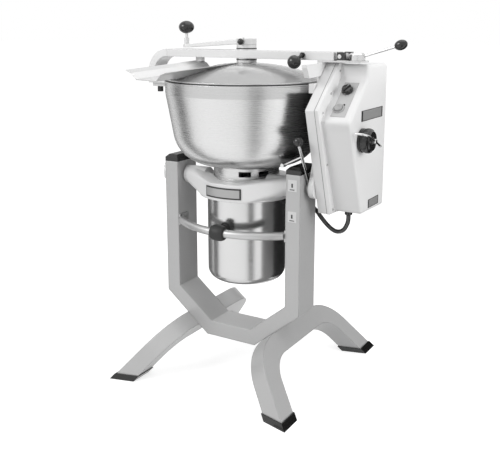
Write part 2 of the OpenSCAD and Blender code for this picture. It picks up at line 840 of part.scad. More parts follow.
module box_cover() {
    color(white_paint) placed() difference() {
        union() {
            chamfered_prism(cover_outline, seam_x + flange_t / 2, box_cover_d - flange_t / 2, 7);
            extrude_x(seam_x, flange_t) polygon(box_outline);
        }
        extrude_x(seam_x - 1, flange_t + 1 - box_wall) polygon(inset(box_outline, box_wall));
        chamfered_prism(inset(cover_outline, box_wall), seam_x - 1, box_cover_d + 1 - box_wall, 6);
        translate([cover_face_x - 20, switch_y, switch_z]) along_x() cylinder(r = switch_spindle_r + 0.5, h = 30);
        timer_place(-20) cylinder(r = timer_spindle_r + 0.5, h = 40);
        button_place(-20) cylinder(r = button_d / 2 + 0.5, h = 40);
        translate([conduit_route[0][0], conduit_y, 540]) cylinder(r = gland_r + seat_gap, h = 60);
    }
}

// Places children on the console slope, along from its foot and h above it, with Z square to it
module on_slope(along, h) {
    translate([console_x, slope_foot[0] + along * cos(slope_angle) - h * sin(slope_angle),
        slope_foot[1] + along * sin(slope_angle) + h * cos(slope_angle)])
        rotate([slope_angle, 0, 0]) children();
}

module timer_place(h) on_slope(timer_along, h) translate([timer_shift, 0, 0]) children();
module button_place(h) on_slope(button_along, h) translate([button_shift, 0, 0]) children();

module console_plate() {
    color(clear_grey) placed() difference() {
        on_slope(22, seat_gap) translate([-console_w / 2, 0, 0]) cube([console_w, console_len, console_t]);
        timer_place(-20) cylinder(r = timer_spindle_r + 0.5, h = 40);
        button_place(-20) cylinder(r = button_d / 2 + 0.5, h = 40);
    }
}

module side_plate() {
    color(clear_grey) placed() translate([cover_face_x, 20, 846]) cube([plate_t, 160, 30]);
}

module box_screws() {
    color(steel) placed() {
        for (p = [[51, 987], [-9, 926], [-60, 876], [-25, 722], [21, 580]])
            translate([seam_x + flange_t, p[0], p[1]]) along_x() cylinder(r = 3.5, h = 2);
        for (z = [996, 878, 790, 580]) translate([cover_face_x - 14, cover_rear(z) + 0.1, z]) along_y()
            cylinder(r = 3.5, h = 2.5);
    }
}

// Rotary switch with a bail across its face, which bends back towards the box in front of it
module rotary_switch() {
    boss_h = 3;
    bail_r = 3.4;
    elbow_r = bail_r + 0.3;
    across = switch_h + boss_h + bail_r - 0.5;
    rear = [across, 45, -17];
    bend = [across, -52, 20];
    tip = [9, -41, 26];
    color(black) placed() translate([cover_face_x, switch_y, switch_z]) {
        translate([0.5, 0, 0]) along_x() cylinder(d = switch_d, h = switch_h - 5);
        translate([switch_h - 5, 0, 0]) along_x() cylinder(d1 = switch_d, d2 = switch_d - 10, h = 5);
        translate([-14, 0, 0]) along_x() cylinder(r = switch_spindle_r, h = 20);
        translate([switch_h - 1, 0, 0]) along_x() cylinder(r = 11, h = boss_h + 2 * bail_r + 1);
        rod(bend, rear, bail_r);
        rod(bend, tip, bail_r);
        for (p = [rear, bend, tip]) translate(p) sphere(elbow_r, $fn = 32);
    }
}

module timer_knob() {
    color(black) placed() timer_place(console_t + 0.4) {
        cylinder(d = timer_d, h = 12);
        translate([0, 0, 12]) cylinder(d1 = timer_d, d2 = timer_d - 6, h = 3);
        translate([0, 0, -14]) cylinder(r = timer_spindle_r, h = 15);
        translate([-1.5, 0, 15]) cube([3, timer_d / 2 - 3, 1.2]);
    }
}

module start_button() {
    color(clear_grey) placed() button_place(console_t) {
        translate([0, 0, -12]) cylinder(d = button_d, h = 12 + button_travel + 4);
        translate([0, 0, -14]) cylinder(r = button_d / 2 - 3, h = 4);
    }
}

module pilot_lamp() {
    color(steel) placed() {
        button_place(console_t + seat_gap) difference() {
            cylinder(d = button_d + 11, h = 3);
            translate([0, 0, -1]) cylinder(d = button_d + 1, h = 6);
        }
        on_slope(lamp_along, console_t + seat_gap) translate([lamp_shift, 0, 0]) cylinder(r = 2.5, h = 2.5);
    }
}

module contactor() {
    color("#2f3133") placed() translate([box_x + box_wall, 70, 700]) {
        cube([6, 60, 90]);
        translate([6, 5, 5]) cube([50, 50, 80]);
        translate([56, 12, 20]) cube([10, 36, 50]);
    }
}

module terminal_block() {
    color("#50565c") placed() translate([box_x + box_wall, 60, 612]) {
        cube([4, 110, 30]);
        for (i = [0:7]) translate([4, 3 + 13 * i, 4]) cube([16, 11, 22]);
    }
}

// Tube of n sides swept along a route that lies across the Y axis
function route_dir(route, i) = unit(route[min(i + 1, len(route) - 1)] - route[max(i - 1, 0)]);
function route_ring(p, dir, r, n) = let (side = cross(dir, [0, 1, 0]))
    [for (k = [0:n - 1]) p + r * (cos(360 * k / n) * side + sin(360 * k / n) * [0, 1, 0])];

module swept_tube(route, r, n) {
    m = len(route);
    points = [for (i = [0:m - 1]) each route_ring(route[i], route_dir(route, i), r, n)];
    sides = [for (i = [0:m - 2], k = [0:n - 1]) let (j = (k + 1) % n)
        [i * n + k, i * n + j, (i + 1) * n + j, (i + 1) * n + k]];
    polyhedron(points, concat([[for (k = [n - 1:-1:0]) k]], [[for (k = [0:n - 1]) (m - 1) * n + k]], sides));
}

module conduit() {
    color(black) placed() swept_tube(conduit_route, conduit_d / 2, 12);
}

module conduit_glands() {
    end = conduit_route[len(conduit_route) - 1];
    start = conduit_route[0];
    color("#3a3b3c") placed() {
        translate(start) cylinder(r = gland_r + 2, h = gland_top - start[2]);
        translate(start) cylinder(r = gland_r, h = gland_top - start[2] + 12);
        difference() {
            translate([110, end[1], end[2]]) along_x() cylinder(r = conduit_d / 2 + 4, h = end[0] - 110);
            on_bowl_axis() translate([0, 0, can_bottom]) cylinder(r = can_r, h = 300);
        }
    }
}

module cover_bar() {
    color(steel) placed() difference() {
        union() {
            translate([-bar_left, bowl_y - bar_d / 2, bar_bottom]) cube([bar_left + bar_right, bar_d, bar_h]);
            translate([bar_right - 1, bowl_y - tongue_half, bar_z - 9]) cube([hinge_x - bar_right + 1,
                2 * tongue_half, 18]);
            translate([hinge_x, bowl_y - tongue_half, bar_z]) along_y() cylinder(r = 9, h = 2 * tongue_half);
        }
        on_bowl_axis() translate([0, 0, bar_bottom - 1]) cylinder(r = crank_shaft_d / 2 + 4, h = bar_h + 2);
        translate([hinge_x, 0, bar_z]) along_y() cylinder(r = hinge_pin_d / 2 + running_gap, h = 200);
    }
}

// The casting at the bar's left end turns down past the rim and ends in a foot under it
hook_out_r = 76;
hook_foot_z = 930;
hook_foot_h = 13;
pin_x = -337;
pin_r = 5;

module hook_arm() {
    bend_zc = bar_top - hook_out_r;
    color(cast_grey) placed() difference() {
        extrude_y(bowl_y - bar_d / 2, bar_d) {
            translate([-bar_left, bend_zc]) intersection() {
                difference() {
                    circle(hook_out_r);
                    circle(hook_out_r - bar_h);
                }
                translate([-hook_out_r, 0]) square([hook_out_r, hook_out_r]);
            }
            translate([-bar_left - hook_out_r, hook_foot_z]) square([bar_h, bend_zc - hook_foot_z]);
            translate([-bar_left - hook_out_r, hook_foot_z]) square([bar_left + hook_out_r - bowl_r - 10,
                hook_foot_h]);
        }
        translate([pin_x, bowl_y, hook_foot_z - 1]) cylinder(r = pin_r + 3, h = hook_foot_h + 4);
    }
}

module lid_ring() {
    color(steel) placed() on_bowl_axis() rotate_extrude($fn = 96) {
        translate([ring_in, ring_z]) square([ring_out - ring_in, ring_t]);
        translate([lip_r - 3, rim_z - lip_h]) square([3, ring_z + 1 - rim_z + lip_h]);
    }
}

module lid_gasket() {
    color(black) placed() on_bowl_axis() translate([0, 0, rim_z + soft_gap]) difference() {
        cylinder(r = bowl_r - 0.5, h = gasket_t, $fn = 96);
        translate([0, 0, -1]) cylinder(r = lip_r + 0.1, h = gasket_t + 2, $fn = 96);
    }
}

module chute_place() {
    translate(chute_tip) rotate([0, 0, -chute_turn]) rotate([chute_rise, 0, 0]) children();
}

// Children drawn across the chute are extruded from a to b along it
module along_chute(a, b) translate([0, b, 0]) rotate([90, 0, 0]) linear_extrude(b - a) children();

module lid_dome() {
    color(clear_grey) placed() difference() {
        on_bowl_axis() rotate_extrude($fn = 96) intersection() {
            translate([0, dome_centre_z]) difference() {
                circle(dome_ball_r, $fn = 180);
                circle(dome_ball_r - dome_wall, $fn = 180);
            }
            translate([crank_shaft_d / 2 + 4, dome_z]) square([dome_edge_r, dome_rise + 10]);
        }
        chute_place() along_chute(60, chute_len + 1) polygon([[-chute_floor - 2, -chute_t - 0.5],
            [chute_floor + 2, -chute_t - 0.5], [chute_wall_u + 1, chute_wall_h - chute_t - 0.5],
            [chute_wall_u + 1, 80], [-chute_wall_u - 1, 80], [-chute_wall_u - 1, chute_wall_h - chute_t - 0.5]]);
    }
}

module hub_housing() {
    color(steel) placed() on_bowl_axis() difference() {
        union() {
            translate([0, 0, dome_crown]) cylinder(r = hub_r, h = bar_bottom - dome_crown);
            translate([0, 0, bar_top]) cylinder(r = hub_r, h = hub_top - bar_top);
            translate([0, 0, dome_crown]) cylinder(r = crank_shaft_d / 2 + 4 - seat_gap, h = hub_top - dome_crown);
        }
        translate([0, 0, dome_crown - 1]) cylinder(r = hub_bore_r, h = 100);
    }
}

module chute() {
    n = len(chute_section);
    under = [for (i = [n - 1:-1:0]) chute_section[i] - [0, chute_t]];
    color(steel) placed() {
        difference() {
            chute_place() translate([-30, 96, -16]) cube([60, 12, 16 - chute_t / 2]);
            on_bowl_axis() translate([0, 0, dome_centre_z]) sphere(dome_ball_r + seat_gap);
            translate([-400, -400, dome_z + seat_gap - 50]) cube([800, 800, 50]);
        }
        difference() {
            chute_place() along_chute(0, chute_len) polygon(concat(chute_section, under));
            translate([-400, -400, dome_z - 50]) cube([800, 800, 50]);
            on_bowl_axis() translate([0, 0, 900]) cylinder(r = hub_r + 14, h = 200);
            intersection() {
                on_bowl_axis() translate([0, 0, dome_centre_z]) sphere(dome_ball_r + soft_gap);
                chute_place() along_chute(0, chute_len + 1) for (side = [-1, 1])
                    translate([side * (chute_wall_u + 40.5), 0]) square([80, 80], center = true);
            }
        }
        translate([-190, bowl_y - 2, 1002]) cube([22, 18, bar_bottom - 1002]);
    }
}

module lift_knob() {
    ball = [198, bowl_y - bar_d / 2 - 30, 1012];
    root = [210, bowl_y - bar_d / 2 - 4, bar_z + 2];
    run = ball - root;
    color(black) placed() {
        translate(ball) sphere(20, $fn = 32);
        translate(root) rotate([0, acos(run[2] / norm(run)), atan2(run[1], run[0])]) cylinder(r = 5, h = 20);
        translate(root) along_y() cylinder(r = 8, h = 4);
    }
}

// The ball on the front of the cap draws the pin that holds the crank to its shaft
module crank() {
    color(steel) placed() on_bowl_axis() {
        translate([0, 0, crank_cap_z]) cylinder(r = hub_r, h = crank_cap_h);
        translate([0, 0, dome_crown - 60]) cylinder(d = crank_shaft_d, h = crank_cap_z - dome_crown + 60 + eps);
        hull() {
            translate([-hub_r + 6, 0, crank_cap_z + 1]) cylinder(r = 17, h = crank_cap_h - 3, $fn = 32);
            translate([-crank_reach, 0, crank_end_z]) cylinder(r = 12, h = crank_end_h, $fn = 32);
        }
        translate([-crank_reach, 0, crank_end_z + 2]) cylinder(r = 8, h = 28);
        translate([-crank_reach, 0, crank_end_z + 8]) cylinder(r = 5, h = crank_stem_top + 14 - crank_end_z - 8);
        translate([pin_ball_x, -hub_r - pin_ball_r, crank_cap_z + crank_cap_h / 2]) {
            sphere(pin_ball_r, $fn = 40);
            along_y() cylinder(r = 3.5, h = pin_ball_r + 4);
        }
    }
}

module crank_knob() {
    color(black) placed() on_bowl_axis() translate([-crank_reach, 0, crank_knob_z]) difference() {
        scale([1, 1, 0.8]) sphere(25, $fn = 40);
        translate([0, 0, -30]) cylinder(r = 5 + running_gap, h = 28);
    }
}

// Two wipers hang from the crank's shaft and follow the bowl's cone
module baffle() {
    blade_t = 5;
    top = dome_crown - 58;
    low = 800;
    reach_low = tangent_r + (low - tangent_z) * cone_slope - bowl_wall - 15;
    reach_high = reach_low + 20;
    color(steel) placed() on_bowl_axis() difference() {
        union() {
            translate([0, 0, top - 32]) cylinder(r = crank_shaft_d / 2 + 8, h = 34);
            for (turn = [0, 180]) rotate([0, 0, turn + 35]) translate([0, blade_t / 2, 0]) rotate([90, 0, 0])
                linear_extrude(blade_t) polygon([[8, top - 26], [reach_high - 40, top - 26],
                    [reach_low - 34, low], [reach_low, low], [reach_high, top - 6], [8, top - 6]]);
        }
        translate([0, 0, top - 40]) cylinder(d = crank_shaft_d, h = 50);
    }
}

keeper_t = 12;

module latch_keeper() {
    top = hook_foot_z - 0.5;
    color(cast_grey) placed() difference() {
        union() {
            translate([-bar_left - hook_out_r + 6, bowl_y - 18, top - keeper_t])
                cube([bar_left + hook_out_r - 6 - bowl_r + 20, 36, keeper_t]);
            translate([-bowl_r - 12, bowl_y - 18, top - 34]) cube([32, 36, 34]);
        }
        on_bowl_axis() translate([0, 0, 800]) cylinder(r = bowl_r, h = 200);
        translate([pin_x, bowl_y, top - keeper_t - 1]) cylinder(r = pin_r + running_gap, h = keeper_t + 2);
    }
}

module latch_plunger() {
    color(black) placed() translate([pin_x, bowl_y, 0]) {
        translate([0, 0, hook_foot_z - 31]) cylinder(r = 9.5, h = 18);
        translate([0, 0, hook_foot_z - 14]) cylinder(r = pin_r, h = 22);
    }
}

module rod(a, b, r) {
    run = b - a;
    translate(a) rotate([0, acos(run[2] / norm(run)), atan2(run[1], run[0])]) cylinder(r = r, h = norm(run));
}

module tilt_lever() {
    color(steel) placed() {
        difference() {
            union() {
                translate([post_out + 1, 0, tilt_z]) along_x() cylinder(r = lever_hub_r, h = lever_hub_t);
                rod(lever_root, lever_ball - [0, 0, 4], lever_rod_r);
            }
            translate([post_out, 0, tilt_z]) along_x() cylinder(r = trunnion_d / 2 + running_gap,
                h = lever_hub_t + 3);
        }
        translate(lever_ball) sphere(d = lever_ball_d, $fn = 32);
        rod(link_start, link_end, link_r);
        translate(link_end - [0, 10, 0]) along_y() cylinder(r = 6, h = 20);
    }
}

yoke();
post_caps();
left_foot_arch();
right_foot_arch();
foot_pads();
trunnion_bushes();
trunnion_cap();
cap_bolts();
stop_bar();
stop_sleeve();
cradle();
cradle_plate();
trunnion_shafts();
motor_can();
motor_stator();
stator_windings();
lower_end_bell();
upper_end_bell();
motor_bearings();
rotor();
knife_shaft();
knife_hub();
knife_blades();
knife_nut();
bowl_collar();
bowl();
shaft_seal();
can_bumper();
upright();
hinge_bracket();
hinge_pin();
lock_lever();
lock_knob();
box_rear_shell();
box_cover();
console_plate();
side_plate();
box_screws();
rotary_switch();
timer_knob();
start_button();
pilot_lamp();
contactor();
terminal_block();
conduit();
conduit_glands();
cover_bar();
hook_arm();
lid_ring();
lid_gasket();
lid_dome();
hub_housing();
chute();
lift_knob();
crank();
crank_knob();
baffle();
latch_keeper();
latch_plunger();
tilt_lever();
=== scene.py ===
"""Vertical cutter mixer: finishes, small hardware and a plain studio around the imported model."""
import json
import math

import bmesh
import bpy
from mathutils import Matrix, Vector


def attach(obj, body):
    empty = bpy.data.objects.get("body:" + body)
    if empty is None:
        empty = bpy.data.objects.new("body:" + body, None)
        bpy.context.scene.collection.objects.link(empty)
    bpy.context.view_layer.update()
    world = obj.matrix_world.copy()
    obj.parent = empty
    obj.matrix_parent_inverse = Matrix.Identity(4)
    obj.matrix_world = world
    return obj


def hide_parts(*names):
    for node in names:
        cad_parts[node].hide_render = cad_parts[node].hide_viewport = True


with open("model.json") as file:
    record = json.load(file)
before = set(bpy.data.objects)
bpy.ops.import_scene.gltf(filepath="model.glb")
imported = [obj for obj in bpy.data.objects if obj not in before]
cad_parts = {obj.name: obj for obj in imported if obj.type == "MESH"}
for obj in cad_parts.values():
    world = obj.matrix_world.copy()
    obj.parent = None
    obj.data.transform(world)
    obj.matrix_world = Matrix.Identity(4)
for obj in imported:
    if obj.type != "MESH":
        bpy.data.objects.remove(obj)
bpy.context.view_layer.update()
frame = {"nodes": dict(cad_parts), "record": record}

nodes = frame["nodes"]
scene = bpy.context.scene


def mm(*values):
    """A point or a size written in millimetres, as metres."""
    return Vector(values) / 1000


CAMERA_AT = mm(1127.4, -2012.7, 1118.7)
CAMERA_YAW, CAMERA_PITCH = 0.537, 0.212
camera = bpy.data.objects.new("camera", bpy.data.cameras.new("camera"))
scene.collection.objects.link(camera)
scene.camera = camera
camera.location = CAMERA_AT
camera.rotation_euler = (math.pi / 2 - CAMERA_PITCH, 0, CAMERA_YAW)
camera.data.sensor_width = 36
camera.data.lens = 53.6
camera.data.shift_y = -0.08
camera.data.clip_start, camera.data.clip_end = 0.05, 50

# The solids' frame has its origin this far, in millimetres, from the machine's own, where the bowl's axis stands
# at x = 0 and y = BOWL_Y
FRAME_SHIFT = (77.5, 61)
BOWL_Y = 51.5
BOWL_AXIS = (-FRAME_SHIFT[0] / 1000, (BOWL_Y - FRAME_SHIFT[1]) / 1000)

# Conduit from the box to the motor can, along the same points (x, z) as its solid
CONDUIT_ROUTE = [(340, 554), (340, 540), (338, 527), (333, 515), (325, 503), (313, 496), (299, 495), (286, 500),
                 (272, 510), (259, 522), (247, 535), (235, 549), (222, 560), (207, 567), (190, 570), (170, 570),
                 (150, 570), (136, 570)]
CONDUIT_Y = 86
CONDUIT_D = 13.4


def spot(x, y, z):
    """A point given in millimetres from the machine's middle, the tilt axis and the floor."""
    return Vector((x - FRAME_SHIFT[0], y - FRAME_SHIFT[1], z)) / 1000


def towards(axis, at):
    """Turns Z to axis and moves to at."""
    return Matrix.Translation(at) @ Vector((0, 0, 1)).rotation_difference(Vector(axis)).to_matrix().to_4x4()


def closed(bm):
    """Merges doubles and points the faces outwards."""
    bmesh.ops.remove_doubles(bm, verts=bm.verts, dist=1e-6)
    bmesh.ops.recalc_face_normals(bm, faces=bm.faces)
    return bm


def verts_of(geom):
    return [g for g in geom if isinstance(g, bmesh.types.BMVert)]


def edges_of(geom):
    return [g for g in geom if isinstance(g, bmesh.types.BMEdge)]


def object_of(name, bm):
    """Puts a bmesh into the scene as an object at the origin."""
    mesh = bpy.data.meshes.new(name)
    bm.to_mesh(mesh)
    bm.free()
    obj = bpy.data.objects.new(name, mesh)
    scene.collection.objects.link(obj)
    return obj


def swept(points, radius, around=12):
    """A round rod through points, with its ends closed."""
    bm = bmesh.new()
    points = [Vector(p) for p in points]
    ways = [(b - a).normalized() for a, b in zip(points, points[1:])]
    ways = [ways[0]] + [(a + b).normalized() for a, b in zip(ways, ways[1:])] + [ways[-1]]
    ring = bmesh.ops.create_circle(bm, cap_ends=False, radius=radius / 1000, segments=around)["verts"]
    bmesh.ops.transform(bm, matrix=towards(ways[0], points[0]), verts=ring)
    edges = list({e for v in ring for e in v.link_edges})
    bm.faces.new(ring)
    for k in range(1, len(points)):
        new = bmesh.ops.extrude_edge_only(bm, edges=edges)["geom"]
        ring, edges = verts_of(new), edges_of(new)
        turn = ways[k - 1].rotation_difference(ways[k]).to_matrix().to_4x4()
        bmesh.ops.transform(bm, matrix=Matrix.Translation(points[k]) @ turn @ Matrix.Translation(-points[k - 1]),
                            verts=ring)
    bmesh.ops.contextual_create(bm, geom=edges)
    return closed(bm)


def smooth_line(knots, steps=4):
    """Points of a smooth curve through knots."""
    knots = [2 * knots[0] - knots[1], *knots, 2 * knots[-1] - knots[-2]]
    line = []
    for a, b, c, d in zip(knots, knots[1:], knots[2:], knots[3:]):
        for t in (k / steps for k in range(steps)):
            line.append(0.5 * (2 * b + (c - a) * t + (2 * a - 5 * b + 4 * c - d) * t ** 2
                               + (3 * b - a - 3 * c + d) * t ** 3))
    return line + [knots[-2]]


def conduit_tube():
    line = smooth_line([spot(x, CONDUIT_Y, z) for x, z in CONDUIT_ROUTE])
    obj = object_of("conduit_jacket", swept(line, CONDUIT_D / 2, 24))
    obj.data.shade_smooth()
    sum((b - a).length for a, b in zip(line, line[1:]))
    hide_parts("conduit")
    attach(obj, "tilting_bowl")
    return obj


conduit = conduit_tube()


class Wire:
    """A node's output. Adding to it or multiplying it makes Math nodes."""

    def __init__(self, finish, socket):
        self.finish, self.socket = finish, socket

    def math(self, operation, *others):
        return self.finish.add("ShaderNodeMath", {"operation": operation}, [self, *others])

    def __add__(self, other):
        return self.math("ADD", other)

    def __mul__(self, other):
        return self.math("MULTIPLY", other)


class Finish:
    """A material with one Principled shader."""

    def __init__(self, name, **constant):
        self.material = bpy.data.materials.new(name)
        self.material.use_nodes = True
        self.tree = self.material.node_tree
        self.shader = self.tree.nodes["Principled BSDF"]
        for key, value in constant.items():
            self.set(key.replace("_", " ").title().replace("Ior", "IOR"), value)
        self.place = self.add("ShaderNodeTexCoord", out="Object")

    def add(self, kind, settings=None, inputs=(), out=0):
        node = self.tree.nodes.new(kind)
        for key, value in (settings or {}).items():
            setattr(node, key, value)
        pairs = inputs.items() if isinstance(inputs, dict) else enumerate(inputs)
        for key, value in pairs:
            self.feed(node.inputs[key], value)
        return Wire(self, node.outputs[out])

    def feed(self, socket, value):
        if isinstance(value, Wire):
            self.tree.links.new(value.socket, socket)
        else:
            socket.default_value = value

    def set(self, key, value):
        self.feed(self.shader.inputs[key], value)

    def stretched(self, *scale, centre=(0, 0, 0)):
        """Object coordinates about centre, multiplied by scale."""
        moved = self.add("ShaderNodeVectorMath", {"operation": "SUBTRACT"}, [self.place, tuple(centre)])
        return self.add("ShaderNodeVectorMath", {"operation": "MULTIPLY"}, [moved, scale])

    def noise(self, where, scale=1.0, detail=3.0, rough=0.55):
        return self.add("ShaderNodeTexNoise", {}, {"Vector": where, "Scale": scale, "Detail": detail,
                                                   "Roughness": rough}, out="Fac")

    def greys(self, value, dark, light):
        """Base colour between two greys or colours as value goes from 0 to 1."""
        node = self.tree.nodes.new("ShaderNodeMix")
        node.data_type = "RGBA"
        self.feed(node.inputs[0], value)
        node.inputs[6].default_value = (*dark, 1)
        node.inputs[7].default_value = (*light, 1)
        self.set("Base Color", Wire(self, node.outputs[2]))

    def bump(self, height, strength, distance=0.001, edge=0.0):
        """Relief from height, on edges that are rounded by edge metres."""
        values = {"Height": height, "Strength": strength, "Distance": distance}
        if edge:
            values["Normal"] = self.add("ShaderNodeBevel", {"samples": 5}, {"Radius": edge}, out="Normal")
        self.set("Normal", self.add("ShaderNodeBump", {}, values, out="Normal"))


def grey(level):
    return (level, level, level)


def paint(name, level, spread, roughness, grain, strength, metallic=0.0, edge=0.004):
    """Sprayed paint: a little cloudiness, a fine grain and an uneven gloss."""
    f = Finish(name, metallic=metallic)
    cloud = f.noise(f.place, 7, 4)
    speck = f.noise(f.place, grain, 2)
    f.greys(cloud * 0.6 + speck * 0.4, grey(level - spread), grey(level + spread))
    f.set("Roughness", cloud * 0.12 + (roughness - 0.06))
    f.bump(speck, strength, edge=edge)
    return f.material


def brushed(name, level, spread, roughness, *scale, spun=None, strength=0.12, metallic=1.0, anisotropic=0.0,
            edge=0.0015):
    """Steel with fine lines. Spun steel has its lines round the axis at spun = (x, y)."""
    f = Finish(name, metallic=metallic, anisotropic=anisotropic)
    if spun:
        centred = f.stretched(1, 1, 1, centre=(*spun, 0))
        parts = f.add("ShaderNodeSeparateXYZ", {}, [centred])
        x, y, z = (Wire(f, s) for s in parts.socket.node.outputs)
        radius = (x * x + y * y).math("SQRT")
        where = f.add("ShaderNodeCombineXYZ", {}, [x * 5, y * 5, (z + radius) * scale[0]])
    else:
        where = f.stretched(*scale)
    lines = f.noise(where, 1, 4, 0.7)
    cloud = f.noise(f.place, 5, 3)
    f.greys(lines * 0.7 + cloud * 0.3, grey(level - spread), grey(level + spread))
    f.set("Roughness", lines * 0.14 + cloud * 0.08 + (roughness - 0.11))
    f.bump(lines, strength, 0.0004, edge=edge)
    return f.material


def moulded(name, level, roughness, grain=900, strength=0.05, coat=0.0):
    """Moulded plastic or rubber."""
    f = Finish(name, coat_weight=coat, coat_roughness=0.08)
    cloud = f.noise(f.place, 12, 3)
    speck = f.noise(f.place, grain, 2)
    f.greys(cloud, grey(level * 0.8), grey(level * 1.25))
    f.set("Roughness", cloud * 0.1 + (roughness - 0.05))
    f.bump(speck, strength)
    return f.material


finishes = {
    "stand_paint": paint("stand_paint", 0.5, 0.03, 0.36, 420, 0.10, metallic=0.15, edge=0.006),
    "cast_paint": paint("cast_paint", 0.8, 0.035, 0.4, 230, 0.25, metallic=0.15),
    "cast_aluminium": paint("cast_aluminium", 0.5, 0.05, 0.5, 160, 0.35, metallic=0.9),
    "stainless": brushed("stainless", 0.6, 0.06, 0.27, 500, spun=BOWL_AXIS, anisotropic=0.7, edge=0.002),
    "satin_steel": brushed("satin_steel", 0.68, 0.05, 0.42, 4, 420, 420, metallic=0.5, edge=0.002),
    "satin_hub": brushed("satin_hub", 0.7, 0.04, 0.4, 300, spun=BOWL_AXIS, metallic=0.5, edge=0.001),
    "polished": brushed("polished", 0.56, 0.04, 0.2, 300, spun=BOWL_AXIS, strength=0.03, anisotropic=0.8),
    "bright_steel": brushed("bright_steel", 0.66, 0.04, 0.2, 300, 300, 300, strength=0.05),
    "core_iron": brushed("core_iron", 0.2, 0.03, 0.5, 3, 3, 900),
    "white_paint": paint("white_paint", 0.8, 0.012, 0.36, 700, 0.04, edge=0.002),
    "black_paint": paint("black_paint", 0.03, 0.01, 0.35, 700, 0.08, edge=0.002),
    "plate_aluminium": brushed("plate_aluminium", 0.66, 0.04, 0.36, 6, 8, 700),
    "badge_field": brushed("badge_field", 0.42, 0.04, 0.4, 6, 8, 700, metallic=0.4),
    "dull_tube": brushed("dull_tube", 0.5, 0.05, 0.46, 6, 500, 500),
    "console_film": paint("console_film", 0.5, 0.02, 0.42, 1500, 0.02, edge=0.0),
    "black_plastic": moulded("black_plastic", 0.01, 0.22, coat=0.2),
    "label_film": paint("label_film", 0.7, 0.02, 0.4, 900, 0.02, edge=0.0),
    "grey_plastic": moulded("grey_plastic", 0.34, 0.3, coat=0.3),
    "black_rubber": moulded("black_rubber", 0.018, 0.55, 500, 0.2),
    "conduit_vinyl": moulded("conduit_vinyl", 0.012, 0.16, 300, 0.03, coat=0.7),
}
conduit.data.materials.append(finishes["conduit_vinyl"])


def copper_wire():
    f = Finish("copper", metallic=1.0)
    turns = f.noise(f.stretched(60, 60, 900), 1, 2)
    f.greys(turns, (0.42, 0.2, 0.09), (0.72, 0.4, 0.2))
    f.set("Roughness", turns * 0.2 + 0.3)
    f.bump(turns, 0.4)
    return f.material


def clear_dome():
    f = Finish("polycarbonate", roughness=0.2, ior=1.5, coat_weight=0.5, coat_roughness=0.06)
    cloud = f.noise(f.place, 9, 4)
    f.greys(cloud, grey(0.5), grey(0.62))
    f.set("Alpha", cloud * 0.1 + 0.6)
    return f.material


CHEEK_FOOT = 1.0185


def hinge_paint():
    """Pale paint on the bracket's foot, and black on its cheeks above CHEEK_FOOT metres."""
    f = Finish("hinge_paint", roughness=0.36)
    parts = f.add("ShaderNodeSeparateXYZ", {}, [f.place])
    height = Wire(f, parts.socket.node.outputs["Z"])
    speck = f.noise(f.place, 500, 2)
    f.greys(height.math("GREATER_THAN", CHEEK_FOOT) + speck * 0.03, grey(0.7), grey(0.035))
    f.bump(speck, 0.08, edge=0.001)
    return f.material


finishes["hinge_paint"] = hinge_paint()
finishes["copper"] = copper_wire()
finishes["polycarbonate"] = clear_dome()

slots = {s["node"]: s["material_slot"] for s in frame["record"]["subparts"]}
other_finish = {"cover_bar": "satin_steel", "chute": "satin_steel", "crank": "satin_hub",
                "hub_housing": "satin_hub", "hinge_bracket": "hinge_paint", "motor_can": "polished",
                "console_plate": "console_film", "stop_bar": "dull_tube"}
for name, node in nodes.items():
    node.data.materials.clear()
    node.data.materials.append(finishes[other_finish.get(name, slots[name])])


def piece(name, bm, finish, body, replaces=(), crease=35):
    """Makes a finished piece of a bmesh, which rides on a body."""
    obj = object_of(name, bm)
    obj.data.shade_smooth()
    obj.data.set_sharp_from_angle(angle=math.radians(crease))
    obj.data.materials.append(finishes[finish])
    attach(obj, body)
    if replaces:
        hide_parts(*replaces)


def turned(profile, at, axis=(0, 0, 1), steps=48):
    """Spins a profile of (radius, height) in millimetres round an axis through at."""
    bm = bmesh.new()
    line = [bm.verts.new((r / 1000, 0, h / 1000)) for r, h in profile]
    edges = [bm.edges.new(pair) for pair in zip(line, line[1:])]
    bmesh.ops.spin(bm, geom=line + edges, angle=math.tau, steps=steps, axis=(0, 0, 1), cent=(0, 0, 0),
                   use_merge=True)
    bmesh.ops.transform(bm, matrix=towards(axis, at), verts=bm.verts)
    return closed(bm)


def slab(corners, push, round_edges=None, width=2.0, segments=3):
    """A flat outline of points pushed to a thickness, with the edges that round_edges picks rounded."""
    bm = bmesh.new()
    face = bm.faces.new([bm.verts.new(c) for c in corners])
    grown = bmesh.ops.extrude_face_region(bm, geom=[face], use_keep_orig=True)["geom"]
    bmesh.ops.translate(bm, vec=push, verts=verts_of(grown))
    closed(bm)
    picked = [e for e in bm.edges if round_edges is None or round_edges(*(v.co for v in e.verts))]
    bmesh.ops.bevel(bm, geom=picked, offset=width / 1000, segments=segments, profile=0.5, affect="EDGES",
                    material=-1, clamp_overlap=True)
    return closed(bm)


def joined(*parts):
    """One bmesh of several."""
    whole = parts[0]
    for part in parts[1:]:
        mesh = bpy.data.meshes.new("part")
        part.to_mesh(mesh)
        part.free()
        whole.from_mesh(mesh)
        bpy.data.meshes.remove(mesh)
    return whole


# Control box: both halves have rounded edges, and a gasket fills the seam between them. X runs from its back to
# its cover's face, and the outlines are (y, z)
BOX_X, SEAM_X, FLANGE_X, COVER_X = 274, 304, 316, 402
SEAM_GAP = 0.4
NEAR = 1e-4
BOX_OUTLINE = [(52, 1012), (-91, 884), (9, 566), (216, 562), (216, 1012)]
COVER_OUTLINE = [(58, 1006), (58, 965), (-70, 852), (-58, 828), (39, 571), (212, 568), (208, 1006)]


def outline_at(x, outline):
    """An outline of (y, z) set upright at x."""
    return [spot(x, y, z) for y, z in outline]


